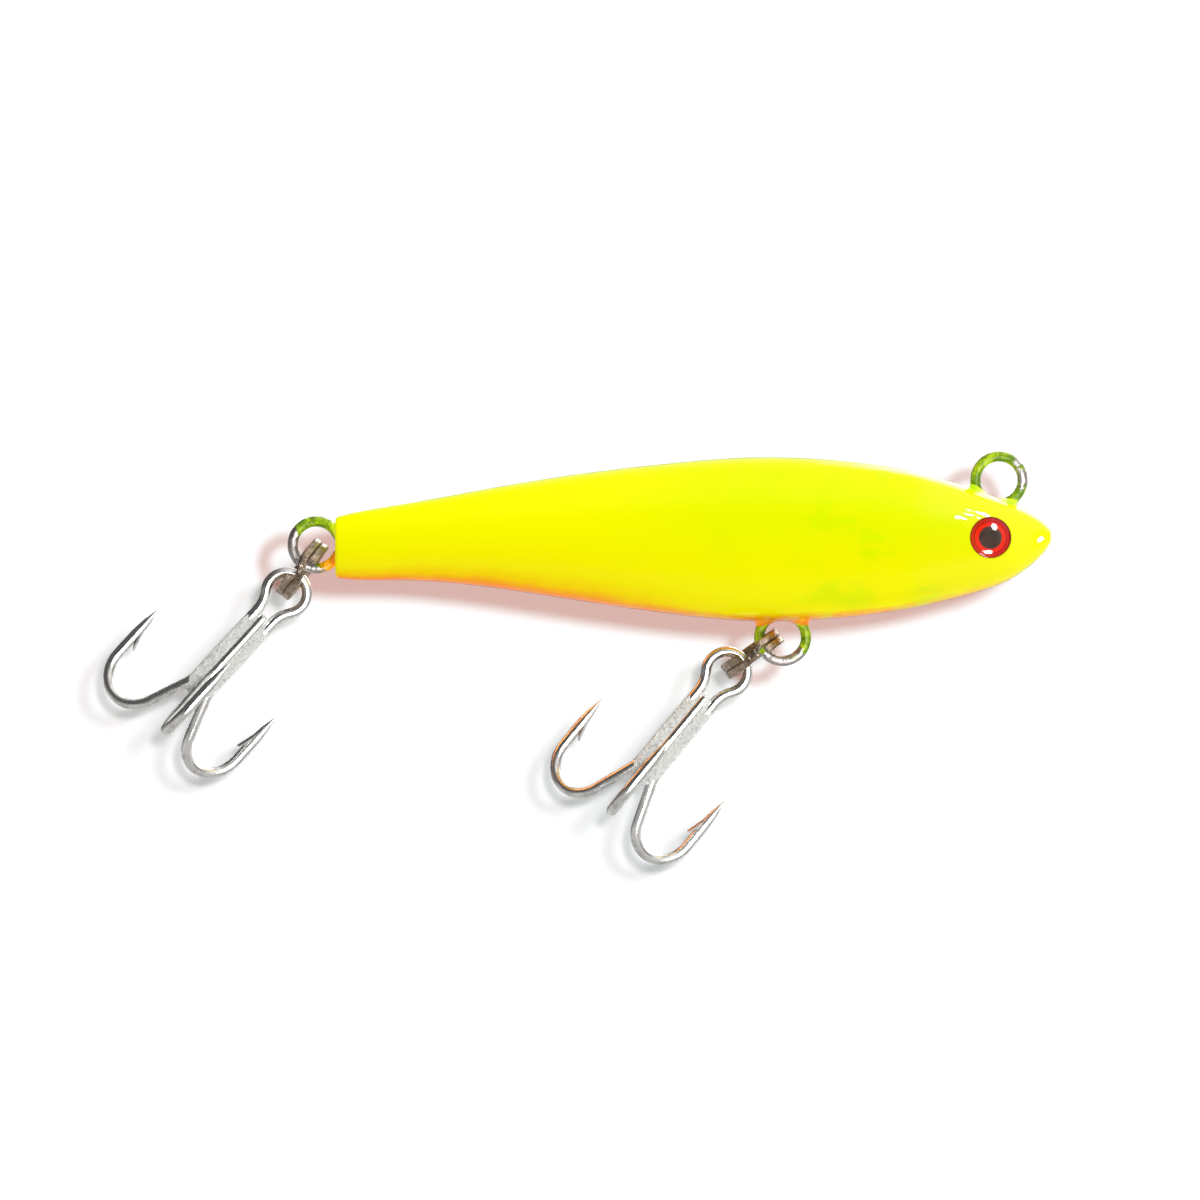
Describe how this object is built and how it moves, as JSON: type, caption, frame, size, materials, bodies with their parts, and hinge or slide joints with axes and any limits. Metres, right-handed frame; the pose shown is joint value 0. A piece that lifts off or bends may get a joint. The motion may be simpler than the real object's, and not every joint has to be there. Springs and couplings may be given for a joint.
{
  "type": "fishing lure",
  "caption": "Lipless sinking minnow lure: hollow two-piece body with domed eyes, wire line tie, and treble hooks hung on split rings under the belly and at the tail.",
  "frame": {"origin": "centre of the line-tie eye, in the lure's mid-plane", "axes": "+X towards the nose, +Y to the lure's left, +Z towards its back"},
  "size_m": [0.1196, 0.0193, 0.0522],
  "materials": {
    "body_paint_left": "fluorescent chartreuse lacquer, orange belly",
    "body_paint_right": "fluorescent chartreuse lacquer, orange belly",
    "line_tie_wire": "stainless wire with paint overspray",
    "belly_hanger_wire": "stainless wire with paint overspray",
    "tail_hanger_wire": "stainless wire with paint overspray",
    "ballast_lead": "dull grey cast metal",
    "rattle_steel": "polished steel",
    "eye_foil": "red foil with dark rings",
    "eye_pupil": "black",
    "eye_lens": "clear domed resin",
    "split_ring_nickel": "nickel plated flat wire",
    "hook_tin": "bright tinned forged wire"
  },
  "bodies": {
    "lure_body": {"body_left": "body_paint_left", "body_right": "body_paint_right", "line_tie": "line_tie_wire", "belly_hanger": "belly_hanger_wire", "tail_hanger": "tail_hanger_wire", "front_ballast": "ballast_lead", "rear_ballast": "ballast_lead", "eye_foil_left": "eye_foil", "eye_foil_right": "eye_foil", "eye_pupil_left": "eye_pupil", "eye_pupil_right": "eye_pupil", "eye_lens_left": "eye_lens", "eye_lens_right": "eye_lens"},
    "belly_ring": {"belly_split_ring": "split_ring_nickel"},
    "belly_hook": {"belly_hook_double": "hook_tin", "belly_hook_single": "hook_tin"},
    "tail_ring": {"tail_split_ring": "split_ring_nickel"},
    "tail_hook": {"tail_hook_double": "hook_tin", "tail_hook_single": "hook_tin"},
    "ball_front": {"rattle_ball_front": "rattle_steel"},
    "ball_middle": {"rattle_ball_middle": "rattle_steel"},
    "ball_rear": {"rattle_ball_rear": "rattle_steel"}
  },
  "joints": [
    {"name": "belly_ring_swing", "type": "hinge", "parent": "lure_body", "child": "belly_ring", "pos_m": [-0.02724, 0, -0.01981], "axis": [0, 1, 0], "range_deg": [-115, 22]},
    {"name": "belly_hook_swing", "type": "hinge", "parent": "belly_ring", "child": "belly_hook", "pos_m": [-0.03103, 0, -0.02184], "axis": [-0.5736, 0, 0.8192], "range_deg": [-60, 60]},
    {"name": "tail_ring_swing", "type": "hinge", "parent": "lure_body", "child": "tail_ring", "pos_m": [-0.08595, 0, -0.00816], "axis": [0, 1, 0], "range_deg": [-32, 140]},
    {"name": "tail_hook_swing", "type": "hinge", "parent": "tail_ring", "child": "tail_hook", "pos_m": [-0.0877, 0, -0.01119], "axis": [-0.7934, 0, 0.6088], "range_deg": [-50, 50]},
    {"name": "ball_front_roll", "type": "slide", "parent": "lure_body", "child": "ball_front", "axis": [1, 0, 0], "range_m": [-0.0022, 0.0012]},
    {"name": "ball_middle_roll", "type": "slide", "parent": "lure_body", "child": "ball_middle", "axis": [1, 0, 0], "range_m": [-0.0022, 0.0022]},
    {"name": "ball_rear_roll", "type": "slide", "parent": "lure_body", "child": "ball_rear", "axis": [1, 0, 0], "range_m": [-0.0012, 0.0022]}
  ]
}
